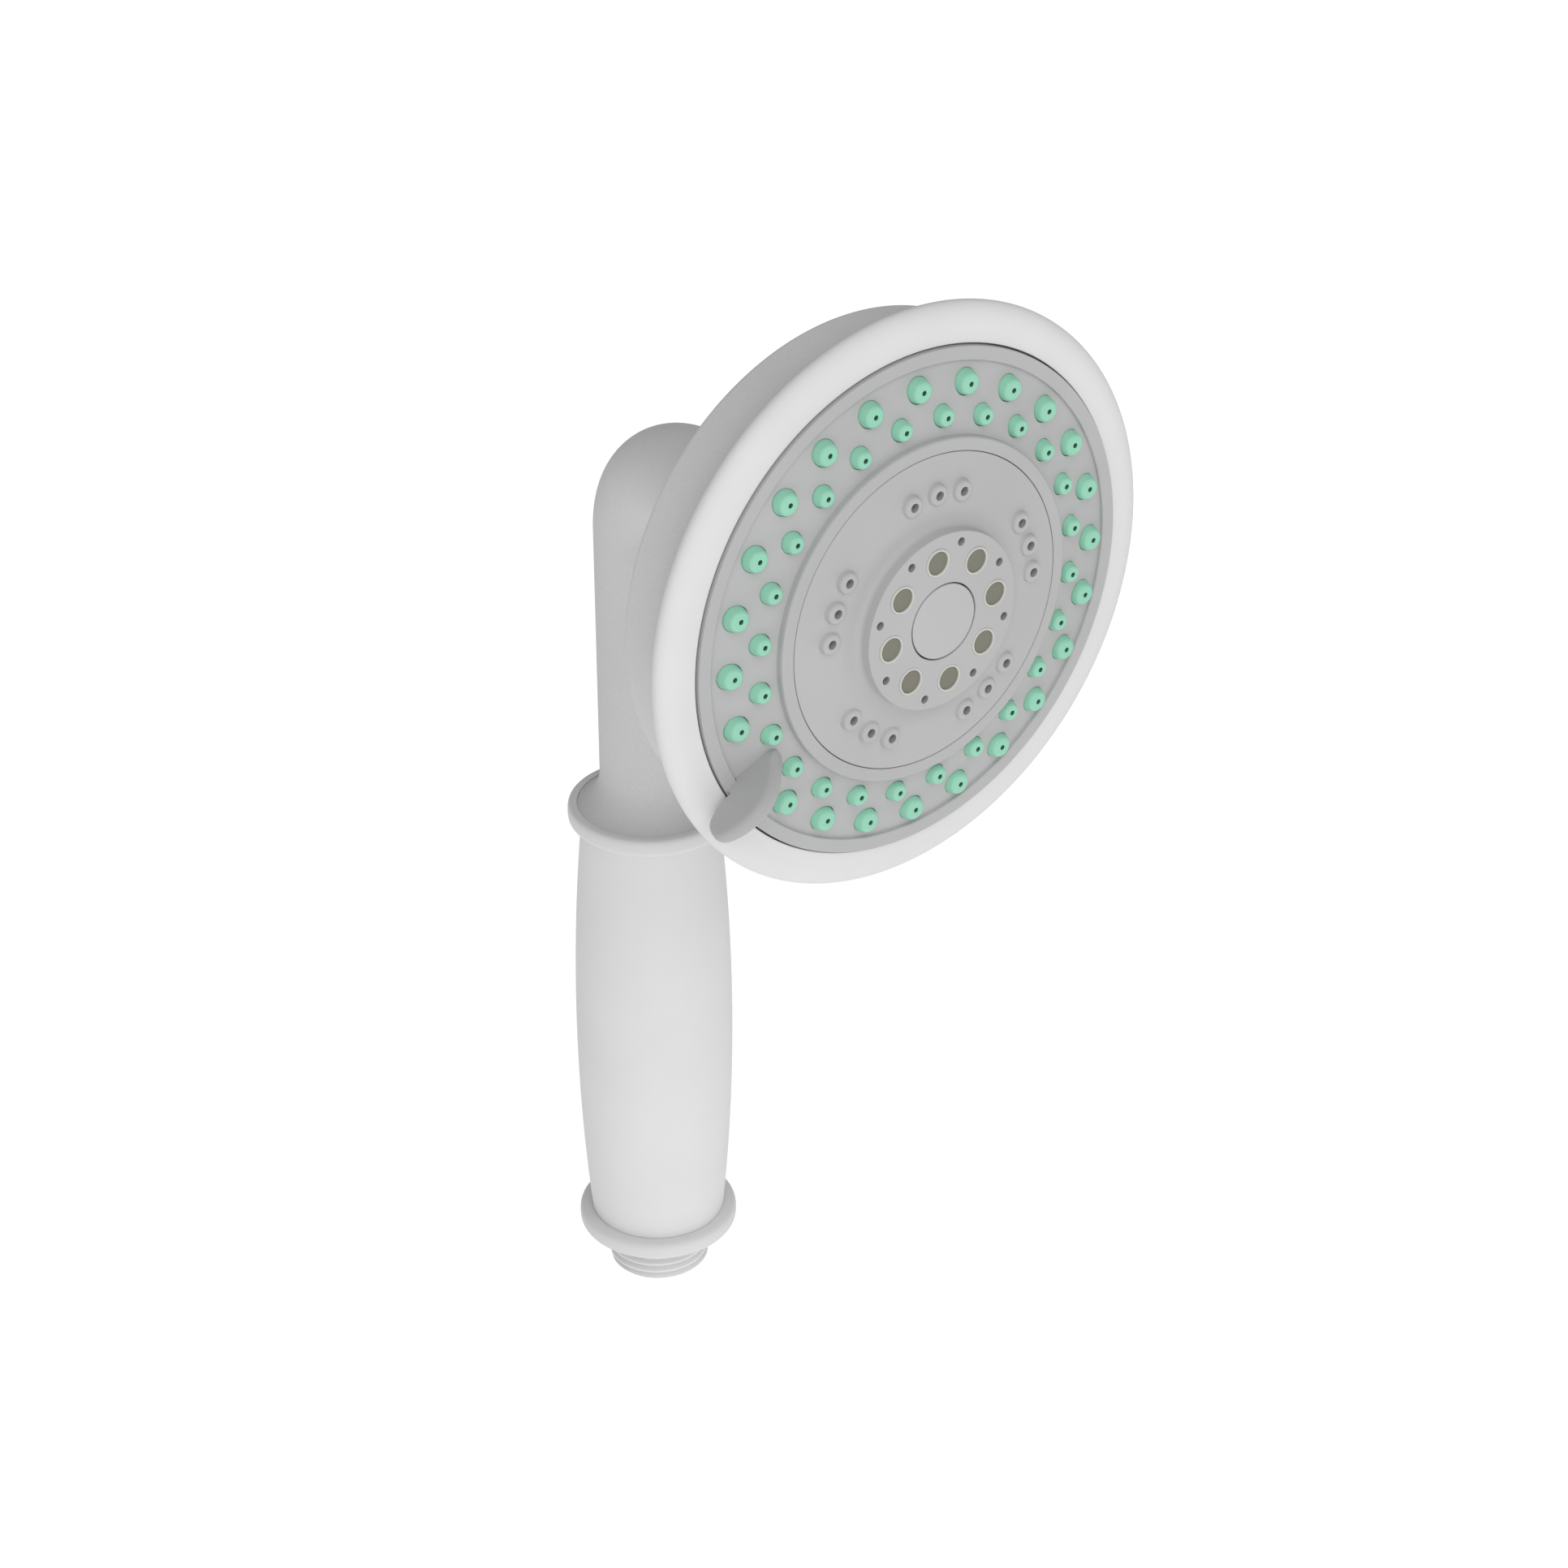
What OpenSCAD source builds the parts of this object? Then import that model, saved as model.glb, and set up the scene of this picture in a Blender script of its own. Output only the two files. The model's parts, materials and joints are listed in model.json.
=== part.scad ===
// Handheld shower head: round multi-function head, elbow, and barrel grip on a threaded inlet.
// Millimetres, +Z up along the handle, origin at the centre of the inlet's end face.
// The head faces -Y.  Head parts are drawn in the head's own frame: z out of the face,
// y up, origin where the face axis meets the plane of the outer nozzle tips.

/* [Head] */
// Height of the face's centre above the inlet's end face
head_z = 191.2; // [180:0.1:200]
// Distance from the handle's axis forward to the outer nozzle tips
face_y = 81.3; // [79:0.1:84]
// Outer radius of the bezel
bezel_r = 55.7; // [55.2:0.1:57]
// Outer radius of the drum behind the bezel
drum_r = 49.2; // [49.2:0.1:49.4]
// Depth of the drum's rear rim behind the nozzle tips
drum_back = 22; // [21.6:0.1:22.5]

/* [Dial] */
// Outer radius of the turning face
face_r = 48.2; // [48:0.1:48.3]
// Radius of the outer ring of soft nozzles
nozzle_outer_r = 41.8; // [41.6:0.1:42]
// Radius of the inner ring of soft nozzles
nozzle_inner_r = 36.3; // [36.2:0.1:36.5]
// Places round each ring of soft nozzles
nozzle_count = 24; // [24]
// Radius of the ring of hard nozzles
hard_ring_r = 23.5; // [23:0.1:24]
// Rise of the face for each millimetre towards its centre
face_slope = 0.195; // [0.19:0.001:0.2]
// Radius of the raised turret's top edge
turret_r = 17; // [16.8:0.1:17.2]
// Number of wide holes, and of narrow holes, in the turret
jet_count = 8; // [8]
// Clock angle of the lever at rest, clockwise seen from the front
lever_clock = 240; // [240]
// Angle that the dial turns through
dial_travel = 120; // [120]
// Number of spray positions
positions = 5; // [5]

/* [Handle] */
// Radius of the neck and elbow
neck_r = 10; // [9.9:0.1:10.1]
// Radius of the elbow's centre line
bend_r = 15.9; // [15:0.1:17]
// Largest radius of the grip
grip_r = 16.2; // [16:0.1:16.4]
// Height of the grip's middle
grip_mid = 62; // [62]
// Length of the grip
grip_len = 95.8; // [95.8]
// Radius of the grip's long barrel curve
barrel_r = 515; // [480:5:560]
// Outer radius of the two collars
collar_r = 16.65; // [16.5:0.05:16.8]

/* [Inlet] */
// Outside diameter of the G 1/2 thread
thread_d = 20.955; // [20.955]
// Length of the threaded end
thread_len = 9.6; // [9.6]
// Bore for the water
water_r = 5.4; // [5.2:0.1:5.4]

/* [Hidden] */
$fn = 96;

over = 1;              // how far a cutting shape runs past what it cuts
run_gap = 0.05;        // radial clearance of a turning fit
wall = 2.3;            // shell and plate thickness

// heights in the head's frame (negative is behind the outer nozzle tips)
bezel_front = -2.4;
bezel_back = -8;
shell_front = -5.2;
ring_top = -1.7;       // flat outer ring of the face
floor_edge = -2.4;     // channel floor at its outer edge
inner_ring_top = 1.75;
flange_back = -4;
floor_back = -5;       // back of the channel's floor
plate_front = -9;      // dial_back_plate
plate_back = -12;
manifold_front = -13;
manifold_back = -16;
shell_inside = -20.5;

channel_r0 = 32.8;
channel_r1 = 45.6;
disc_r = 30.05;
inner_wall_r = 30.3;
skirt_r = 46.4;
shell_in_r = drum_r - wall;
hub_r = 8;
post_r = 5;
ledge_top = -0.2;
position_step = dial_travel / (positions - 1);
first_port = 0;        // clock angle of the first water port, at rest
first_notch = 300;     // clock angle of the detent plunger and of the first notch
notch_ring_r = 42.6;
inner_port_r = 20;
outer_port_r = 37;
port_r = 2.6;
ledge_r = 42;          // inside of the shell's ledge under the manifold
ledge_screw_r = 43.6;
dial_screw_r = 28;
ring_screw_clock = 45;
turret_top = 6.14;
turret_mid = 6.36;
turret_floor = 4.25;
wide_ring_r = 12.1;
narrow_ring_r = 15;
cap_hole_r = 7.45;
lever_r0 = 36.3;       // inner end of the lever
lever_r1 = 56;         // outer end
lever_crest_r = 48;    // radius of its highest point
lever_crest = 7.15;
lever_toe = -1;        // height of its front edge at the inner end
lever_tip = 2.9;       // middle height of the outer end
lever_under_r = 50.5;  // where the underside starts to rise
lever_under = -0.75;
lever_foot_r = 48;     // outer end of the foot on the face
stub_end = -23;        // front end of the elbow's stub
boss_back = -40;       // rear end of the shell's boss
collar_half = 1.95;    // half the height of a collar
collar_gap = 0.05;
grip_z0 = grip_mid - grip_len / 2;
grip_z1 = grip_mid + grip_len / 2;
lower_z = grip_z0 - collar_half - collar_gap;
upper_z = grip_z1 + collar_half + collar_gap;
neck_foot = upper_z + collar_half - 0.45;
flare_r = 8;
foot_r = 14.7;
thread_r = thread_d / 2;

// height of the dial's conical face at a radius
function face_h(r) = inner_ring_top + face_slope * (30 - r);
// height of the channel's floor at a radius
function floor_h(r) = floor_edge + face_slope * (channel_r1 - r);
// points on an arc from angle a0 to a1
function arc(cx, cy, r, a0, a1, n = 8) =
    [for (i = [0:n]) [cx + r * cos(a0 + (a1 - a0) * i / n), cy + r * sin(a0 + (a1 - a0) * i / n)]];

// puts the head's frame in place
module head() {
    translate([0, -face_y, head_z])
        rotate([90, 0, 0])
            children();
}

// puts a child at a clock angle and radius, seen from the front
module at_clock(angle, r) {
    rotate(-angle)
        translate([0, r, 0])
            children();
}

// places n children evenly round the clock
module ring_of(n, r, start = 0) {
    for (i = [0:n - 1])
        at_clock(start + i * 360 / n, r)
            children();
}

// pipe between two heights
module pipe(r_out, r_in, z0, z1) {
    difference() {
        translate([0, 0, z0])
            cylinder(r = r_out, h = z1 - z0);
        translate([0, 0, z0 - over])
            cylinder(r = r_in, h = z1 - z0 + 2 * over);
    }
}

// rod between two heights
module rod(r, z0, z1) {
    translate([0, 0, z0])
        cylinder(r = r, h = z1 - z0);
}

module o_ring(r, wire, z) {
    translate([0, 0, z])
        rotate_extrude()
            translate([r, 0])
                circle(r = wire);
}

// coil spring as a swept wire with closed ends
module coil(r, wire, z0, z1, turns, sides = 6, steps = 14) {
    rings = turns * steps;
    points = [for (i = [0:rings]) for (j = [0:sides - 1])
        let (a = 360 * i / steps,
            z = z0 + (z1 - z0) * i / rings,
            b = 360 * j / sides,
            s = r + wire * cos(b))
        [s * cos(a), s * sin(a), z + wire * sin(b)]];
    skin = [for (i = [0:rings - 1]) for (j = [0:sides - 1])
        [i * sides + j, (i + 1) * sides + j,
            (i + 1) * sides + (j + 1) % sides, i * sides + (j + 1) % sides]];
    near = [[for (j = [0:sides - 1]) j]];
    far = [[for (j = [sides - 1:-1:0]) rings * sides + j]];
    polyhedron(points = points, faces = concat(near, skin, far));
}

// ---------------------------------------------------------------- head casing

module rear_shell() {
    rim = 1;          // rounding of the rear rim
    blend = 7;        // fillet between the back and the boss
    boss_r = 13;
    dome = 8;         // rise of the back
    inner = boss_r + blend;
    color("gainsboro") head() difference() {
        rotate_extrude() polygon(concat(
            [[0, shell_front], [drum_r, shell_front]],
            arc(drum_r - rim, -drum_back + rim, rim, 0, -60, 4),
            [for (i = [1:10]) let (t = 1 - i / 10)
                [inner + (drum_r - rim - inner) * t, -drum_back - dome * (1 - t * t)]],
            arc(inner, -drum_back - dome - blend, blend, 100, 180, 8),
            arc(boss_r - 0.8, boss_back + 0.8, 0.8, 0, -90, 4),
            [[0, boss_back]]));
        // space for the dial and manifold
        rod(shell_in_r, manifold_back, shell_front + over);
        rod(ledge_r, shell_inside, manifold_back + over);
        // dished inside of the back
        rotate_extrude() polygon(concat(
            [[0, shell_inside + over], [ledge_r, shell_inside + over], [ledge_r, shell_inside]],
            [for (i = [1:6]) let (t = 1 - i / 6, r = 18 + 22 * t)
                [r, shell_inside - 8 * (1 - t * t)]],
            [[0, shell_inside - 8]]));
        rod(neck_r + run_gap, boss_back - over, shell_inside);
        // groove of the stub's O-ring
        rod(neck_r + 2.1, -30.1, shell_inside - 7);
        // screw holes in the ledge under the manifold
        ring_of(4, ledge_screw_r, ring_screw_clock)
            rod(1.2, manifold_back - 4, manifold_back + over);
        // room for the detent's boss
        at_clock(first_notch, notch_ring_r)
            rod(4.1, -20.9, manifold_back + over);
    }
}

module bezel_ring() {
    bulge = 4.25;     // half width of the rounded edge
    half = 2.5;       // half its thickness
    mid = bezel_front - half;
    bore = face_r + 0.4;
    color("white") head() rotate_extrude() difference() {
        polygon(concat(
            [[bore, bezel_front - 0.25], [bore + 0.25, bezel_front]],
            [for (i = [0:24]) let (a = 90 - 7.5 * i)
                [bezel_r - bulge + bulge * cos(a), mid + half * sin(a)]],
            [[drum_r + 0.6, bezel_back], [bore, bezel_back]]));
        translate([0, bezel_back - over])
            square([drum_r + run_gap, shell_front - bezel_back + over + run_gap]);
    }
}

module manifold_plate() {
    color("dimgray") head() difference() {
        union() {
            rod(shell_in_r - 0.1, manifold_back, manifold_front);
            rod(post_r, manifold_front, -1.8);
            at_clock(first_notch, notch_ring_r)
                rod(3.7, -20.5, manifold_back + 0.1);
        }
        // thread hole for the retaining screw
        rod(2, -11, 0);
        // groove of the O-ring
        rotate_extrude()
            translate([shell_in_r - 1.2, -15.2])
                square([2, 1.3]);
        // water ports
        for (r = [inner_port_r, outer_port_r])
            at_clock(first_port, r) {
                rod(port_r, manifold_back - over, manifold_front + over);
                rod(3.6, -14.5, manifold_front + over);
            }
        // detent's bore
        at_clock(first_notch, notch_ring_r)
            rod(2 + run_gap, -19.5, manifold_front + over);
        // countersunk screws
        ring_of(4, ledge_screw_r, ring_screw_clock) {
            rod(1.2, manifold_back - over, manifold_front + over);
            rod(1.9, manifold_front - 1.6, manifold_front + over);
        }
    }
}

module manifold_o_ring() {
    color("black") head()
        o_ring(shell_in_r - 0.62, 0.55, -14.55);
}

module manifold_screws() {
    color("silver") head()
        ring_of(4, ledge_screw_r, ring_screw_clock) difference() {
            union() {
                rod(1.2, manifold_back - 4, manifold_front - 1.5);
                rod(1.85, manifold_front - 1.6, manifold_front - 0.2);
            }
            translate([-1.2, -0.2, manifold_front - 0.8])
                cube([2.4, 0.4, 2]);
            translate([-0.2, -1.2, manifold_front - 0.8])
                cube([0.4, 2.4, 2]);
        }
}

module port_seals() {
    color("black") head()
        for (r = [inner_port_r, outer_port_r])
            at_clock(first_port, r)
                pipe(3.6, port_r, -14.5, plate_back - 0.3);
}

module detent_plunger() {
    color("white") head()
        at_clock(first_notch, notch_ring_r) {
            rod(2, -16.6, -14.3);
            translate([0, 0, -14.3])
                sphere(r = 2);
        }
}

module detent_spring() {
    color("silver") head()
        at_clock(first_notch, notch_ring_r)
            coil(1.55, 0.25, -19.2, -16.88, 3);
}

module retaining_screw() {
    color("silver") head() difference() {
        union() {
            rod(2, -11, -1.2);
            rod(4, -1.3, 1.6);
        }
        translate([0, 0, -0.4])
            cylinder(r = 1.6, h = 3, $fn = 6);
    }
}

module thrust_washer() {
    color("silver") head()
        pipe(7.4, 2.05, -1.8, -1.3);
}

module stub_nut() {
    color("goldenrod") head() difference() {
        translate([0, 0, -28.4])
            cylinder(r = 14.6, h = 5, $fn = 6);
        rod(neck_r + run_gap, -28.4 - over, -23);
    }
}

module stub_o_ring() {
    color("black") head()
        o_ring(neck_r + 1.1, 0.75, -29.3);
}

// ---------------------------------------------------------------- dial

module hard_nozzle_places() {
    for (g = [0:4]) for (k = [-1:1])
        at_clock(lever_clock - 22.5 + 72 * g + 14 * k, hard_ring_r)
            children();
}

// places of the soft nozzles: the lever takes one place of the outer ring
module soft_nozzle_places(inner, outer) {
    if (outer) for (i = [1:nozzle_count - 1])
        at_clock(lever_clock + i * 360 / nozzle_count, nozzle_outer_r)
            translate([0, 0, floor_h(nozzle_outer_r)])
                children();
    if (inner) for (i = [0:nozzle_count - 1])
        at_clock(lever_clock + (i + 0.5) * 360 / nozzle_count, nozzle_inner_r)
            translate([0, 0, floor_h(nozzle_inner_r)])
                children();
}

module face_plate() {
    bead = 0.5;
    color("lightgray") head() difference() {
        union() {
            rotate_extrude() polygon(concat(
                [[channel_r1, ring_top]],
                arc(face_r - bead, ring_top - bead, bead, 90, 0, 3),
                [[face_r, flange_back], [skirt_r, flange_back], [skirt_r, -8.6],
                    [44.9, -8.6], [44.9, floor_back], [32.8, floor_back], [32.8, plate_front],
                    [inner_wall_r, plate_front], [inner_wall_r, -2.2], [28.6, -2.2],
                    [28.6, ledge_top], [inner_wall_r, ledge_top],
                    [inner_wall_r, inner_ring_top - 0.5], [inner_wall_r + 0.5, inner_ring_top]],
                arc(channel_r0 - 0.7, inner_ring_top - 0.7, 0.7, 90, 0, 3),
                [[channel_r0, floor_h(channel_r0)], [channel_r1, floor_edge]]));
            ring_of(4, dial_screw_r, ring_screw_clock)
                rod(2.3, plate_front, -2);
        }
        rod(inner_wall_r - 3, ledge_top - 1.2, 5);
        soft_nozzle_places(false, true)
            rod(2.5, -6, 3);
        soft_nozzle_places(true, false)
            rod(2.1, -6, 3);
        ring_of(4, dial_screw_r, ring_screw_clock)
            rod(1.1, plate_front - over, -3.4);
    }
}

module soft_nozzle(r, h) {
    rod(r, -5, 0);
    cylinder(r1 = r, r2 = r - 0.42, h = h);
}

module nozzle_mat() {
    color("mediumaquamarine") head() difference() {
        union() {
            pipe(44.5, 33.2, floor_back - 1.6, floor_back - 0.05);
            soft_nozzle_places(false, true)
                soft_nozzle(2.4, -floor_h(nozzle_outer_r));
            soft_nozzle_places(true, false)
                soft_nozzle(2, 1.66);
        }
        soft_nozzle_places(true, true)
            rod(0.5, -9, 4);
    }
}

module spray_disc() {
    foot = 2.4;
    edge = 0.25;
    foot_mid = turret_r + 0.35 + foot;
    color("lightgray") head() difference() {
        union() {
            rotate_extrude() polygon(concat(
                [[disc_r, ledge_top + 0.05], [disc_r, inner_ring_top - 0.35],
                    [disc_r - 0.35, inner_ring_top]],
                arc(foot_mid, face_h(foot_mid) + foot, foot, -100, -172, 6),
                arc(turret_r - edge, turret_top - edge, edge, 10, 90, 2),
                [[cap_hole_r, turret_mid], [cap_hole_r, 4.3], [5.2, 4.3], [5.2, 3.2], [8.2, 3.2],
                    [8.2, -3.4], [9.6, -3.4], [9.6, turret_floor], [15.8, turret_floor],
                    [16.4, 2.2], [20, face_h(20) - 2.2], [26, face_h(26) - 2.2],
                    [26, ledge_top + 0.05]]));
            hard_nozzle_places() {
                translate([0, 0, face_h(hard_ring_r) - 0.6])
                    cylinder(r1 = 2.1, r2 = 1.7, h = 1.6);
            }
        }
        hard_nozzle_places()
            rod(0.78, -1, 6);
        ring_of(jet_count, wide_ring_r, lever_clock + 22.5)
            rod(2.2, 3, 8);
        ring_of(jet_count, narrow_ring_r, lever_clock)
            rod(0.78, 2, 8);
    }
}

module jet_insert() {
    color("darkkhaki") head() difference() {
        union() {
            pipe(15.7, 9.7, turret_floor - 1.2, turret_floor - 0.05);
            ring_of(jet_count, wide_ring_r, lever_clock + 22.5)
                rod(2.08, turret_floor - 1, turret_top - 0.15);
        }
        ring_of(jet_count, narrow_ring_r, lever_clock)
            rod(0.78, 2, 8);
    }
}

module centre_cap() {
    color("lightgray") head() {
        rod(7.1, 4.3, turret_mid + 0.05);
        pipe(5.15, 4.4, 2.6, 4.4);
    }
}

// solid of the face that the lever's foot follows
module lever_seat() {
    rotate_extrude() polygon([[0, -12], [face_r, -12], [face_r, ring_top], [channel_r1, ring_top],
        [channel_r1, floor_h(channel_r1)], [channel_r0, floor_h(channel_r0)], [0, 20 * face_slope]]);
}

// outline of the lever seen along the face: front edge, rounded outer end, raised underside
module lever_side() {
    polygon(concat(
        [[lever_r0, -4]],
        [for (i = [0:12]) let (u = i / 12)
            [lever_r0 + (lever_crest_r - lever_r0) * u,
                lever_toe + (lever_crest - lever_toe) * pow(sin(90 * u), 0.85)]],
        [for (i = [1:8]) let (a = 90 - 90 * i / 8)
            [lever_crest_r + (lever_r1 - lever_crest_r) * cos(a),
                lever_tip + (lever_crest - lever_tip) * sin(a)]],
        [for (i = [1:8]) let (a = 90 * i / 8)
            [lever_under_r + (lever_r1 - lever_under_r) * cos(a),
                lever_tip - (lever_tip - lever_under) * sin(a)]],
        [[lever_foot_r, lever_under], [lever_foot_r, -4]]));
}

module selector_lever() {
    nose = 2.05;
    tip = 1.4;
    color("darkgray") head() difference() {
        at_clock(lever_clock, 0) intersection() {
            rotate([90, 0, 90])
                translate([0, 0, -nose - over])
                    linear_extrude(2 * (nose + over))
                        lever_side();
            translate([0, 0, -4 - over])
                linear_extrude(lever_crest + 4 + 2 * over)
                    polygon(concat(
                        arc(0, lever_r1 - tip, tip, 0, 180, 12),
                        arc(0, lever_r0 + nose, nose, 180, 360, 12)));
        }
        lever_seat();
    }
}

module dial_back_plate() {
    color("gray") head() difference() {
        union() {
            rod(skirt_r, plate_back, plate_front);
            rod(hub_r, plate_back, -1.9);
        }
        rod(post_r + run_gap, plate_back - over, 0);
        for (i = [0:positions - 1])
            at_clock(first_notch + i * position_step, notch_ring_r)
                translate([0, 0, -13.3])
                    sphere(r = 2.35);
        for (c = [0, 60])
            at_clock(first_port + c, outer_port_r)
                rod(port_r, plate_back - over, plate_front + over);
        for (c = [30, 60, 90])
            at_clock(first_port + c, inner_port_r)
                rod(port_r, plate_back - over, plate_front + over);
        ring_of(4, dial_screw_r, ring_screw_clock) {
            rod(1.1, plate_back - over, plate_front + over);
            rod(2, plate_back - over, plate_back + 1.6);
        }
    }
}

module dial_gasket() {
    color("black") head()
        pipe(skirt_r, 44.9, plate_front, -8.6);
}

module dial_screws() {
    color("silver") head()
        ring_of(4, dial_screw_r, ring_screw_clock) difference() {
            union() {
                rod(1.1, plate_back + 1.5, -3.4);
                rod(1.95, plate_back + 0.2, plate_back + 1.6);
            }
            translate([-1.2, -0.2, plate_back - 1])
                cube([2.4, 0.4, 1.8]);
            translate([-0.2, -1.2, plate_back - 1])
                cube([0.4, 2.4, 1.8]);
        }
}

module turbine() {
    blades = 8;
    color("ivory") head() difference() {
        union() {
            rod(10.4, -8.5, -4.6);
            rod(24, -8.5, -7.5);
            for (i = [0:blades - 1])
                rotate(i * 360 / blades)
                    translate([9, -0.6, -8])
                        rotate([0, 0, 12])
                            cube([13, 1.2, 3.4]);
        }
        rod(hub_r + run_gap, -9, 0);
        // half of the wheel is open, so the jets pulse as it turns
        for (i = [0:3])
            at_clock(18 + 36 * i, 18)
                rod(3, -9, -7);
    }
}

// ---------------------------------------------------------------- handle

// tube of the elbow: neck, bend and stub, at a given radius
module elbow_run(r, z0, stub_y) {
    rod(r, z0, head_z - bend_r);
    translate([0, -bend_r, head_z - bend_r])
        rotate([90, 0, 90])
            rotate_extrude(angle = 90)
                translate([bend_r, 0])
                    circle(r = r);
    translate([0, -bend_r, head_z])
        rotate([90, 0, 0])
            cylinder(r = r, h = stub_y - bend_r);
}

module elbow_neck() {
    stub_y = face_y + stub_end;
    color("lightgray") difference() {
        union() {
            elbow_run(neck_r, neck_foot, stub_y);
            rotate_extrude() polygon(concat(
                [[0, neck_foot], [foot_r, neck_foot]],
                [for (i = [0:8]) let (a = 65.6 * (1 - i / 8))
                    [neck_r + flare_r * (1 - cos(a)), neck_foot + flare_r * (sin(65.6) - sin(a))]],
                [[0, neck_foot + flare_r]]));
            rod(8.5, 96, neck_foot + 1);
        }
        elbow_run(water_r + 0.2, 95, stub_y + over);
        rod(6.5, 95, 104.5);
        rotate_extrude()
            translate([0, 98])
                square([7.25, 1.2]);
    }
}

module collar(z, bore, spigot) {
    bead = 1.1;
    color("white") difference() {
        union() {
            rotate_extrude() union() {
                for (s = [-1, 1])
                    translate([collar_r - bead, z + s * (collar_half - bead)])
                        circle(r = bead);
                translate([collar_r - bead, z - collar_half + bead])
                    square([bead, 2 * (collar_half - bead)]);
                translate([bore, z - collar_half])
                    square([collar_r - bead - bore, 2 * collar_half]);
            }
            translate([0, 0, spigot < 0 ? z - collar_half - 3 : z + collar_half])
                cylinder(r = 10.7, h = 3);
        }
        rod(bore, z - 8, z + 8);
    }
}

module upper_collar() {
    difference() {
        collar(upper_z, 8.55, -1);
        // seat of the neck's flared foot
        color("white") rod(foot_r, neck_foot, upper_z + 4);
    }
}

module lower_collar() {
    collar(lower_z, 8, 1);
}

module grip_sleeve() {
    color("white") rotate_extrude() intersection() {
        translate([grip_r - barrel_r, grip_mid])
            circle(r = barrel_r, $fn = 720);
        translate([10.8, grip_z0])
            square([10, grip_len]);
    }
}

module inlet_connector() {
    chamfer = 0.8;
    color("silver") difference() {
        union() {
            rod(thread_r, chamfer, thread_len);
            cylinder(r1 = thread_r - chamfer, r2 = thread_r, h = chamfer);
            rod(7.95, thread_len - over, 24);
        }
        rod(water_r, -over, 25);
        rod(8.3, -over, 2.4);
        rod(6.5, 16, 25);
        rotate_extrude()
            translate([0, 20.4])
                square([7.25, 1.2]);
    }
}

module water_tube() {
    color("tan")
        pipe(6.45, water_r, 16, 104.5);
}

module tube_o_rings() {
    color("black") for (z = [21, 98.6])
        o_ring(6.87, 0.37, z);
}

module filter_ring() {
    color("black")
        pipe(8.25, 5.6, 0.2, 2.4);
}

module filter_mesh() {
    color("silver") difference() {
        rod(5.55, 1, 1.4);
        for (x = [-2:2]) for (y = [-2:2])
            translate([x * 1.7, y * 1.7, 0])
                rod(0.55, 0, 3);
    }
}

module flow_restrictor() {
    color("orange") difference() {
        rod(water_r - 0.05, 2.6, 4.4);
        rod(1.3, 2, 5);
        for (a = [0:60:300])
            rotate(a)
                translate([3.4, 0, 0])
                    rod(0.6, 2, 5);
    }
}

module valve_cage() {
    color("white") {
        difference() {
            rod(water_r - 0.05, 4.5, 15.6);
            rod(4.3, 6, 16);
            rod(3, 4, 7);
        }
        // spider that guides the poppet's stem
        pipe(1.9, 1.1 + run_gap, 13.4, 15.6);
        for (a = [0, 120, 240])
            rotate(a)
                translate([1.5, -0.6, 13.8])
                    cube([3.1, 1.2, 1.6]);
    }
}

module valve_poppet() {
    color("orange") {
        rod(3.8, 6.05, 7.6);
        rod(1.1, 7.5, 17);
    }
}

module valve_spring() {
    color("silver")
        coil(2.2, 0.25, 7.9, 13.1, 4);
}

rear_shell();
elbow_neck();
upper_collar();
grip_sleeve();
lower_collar();
inlet_connector();
bezel_ring();
face_plate();
nozzle_mat();
spray_disc();
jet_insert();
centre_cap();
selector_lever();
dial_back_plate();
dial_gasket();
dial_screws();
turbine();
manifold_plate();
manifold_o_ring();
manifold_screws();
port_seals();
retaining_screw();
thrust_washer();
detent_plunger();
detent_spring();
stub_nut();
stub_o_ring();
water_tube();
tube_o_rings();
valve_cage();
valve_poppet();
valve_spring();
flow_restrictor();
filter_ring();
filter_mesh();
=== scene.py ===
"""Looks of the handheld shower head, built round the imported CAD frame.

Two ways to place a point, both in millimetres: on_handle() along the grip, and on_head(), whose
height runs out of the spray face.  A piece that turns or flows is a set of rings joined up.
"""

import json
import math

import bmesh
import bpy
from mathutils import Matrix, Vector
from mathutils.geometry import delaunay_2d_cdt


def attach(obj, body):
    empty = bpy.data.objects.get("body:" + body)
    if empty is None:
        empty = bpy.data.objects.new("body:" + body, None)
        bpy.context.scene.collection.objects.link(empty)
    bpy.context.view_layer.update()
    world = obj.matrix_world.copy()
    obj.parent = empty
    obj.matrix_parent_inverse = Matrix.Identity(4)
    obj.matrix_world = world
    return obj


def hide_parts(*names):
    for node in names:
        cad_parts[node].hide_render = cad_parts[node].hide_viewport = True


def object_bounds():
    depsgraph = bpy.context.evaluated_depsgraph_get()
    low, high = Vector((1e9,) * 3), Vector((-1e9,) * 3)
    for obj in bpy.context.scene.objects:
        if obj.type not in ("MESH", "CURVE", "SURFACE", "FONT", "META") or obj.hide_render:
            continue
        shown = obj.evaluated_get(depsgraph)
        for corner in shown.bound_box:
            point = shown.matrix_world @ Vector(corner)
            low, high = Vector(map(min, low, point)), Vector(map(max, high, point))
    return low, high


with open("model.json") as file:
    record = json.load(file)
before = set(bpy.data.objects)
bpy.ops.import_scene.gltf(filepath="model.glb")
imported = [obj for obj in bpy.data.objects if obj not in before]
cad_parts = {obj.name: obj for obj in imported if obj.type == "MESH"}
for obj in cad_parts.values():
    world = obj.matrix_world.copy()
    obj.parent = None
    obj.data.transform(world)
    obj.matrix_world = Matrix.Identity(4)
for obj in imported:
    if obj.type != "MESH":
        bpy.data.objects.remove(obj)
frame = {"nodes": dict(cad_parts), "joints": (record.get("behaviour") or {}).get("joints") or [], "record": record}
CAD_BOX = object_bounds()

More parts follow.
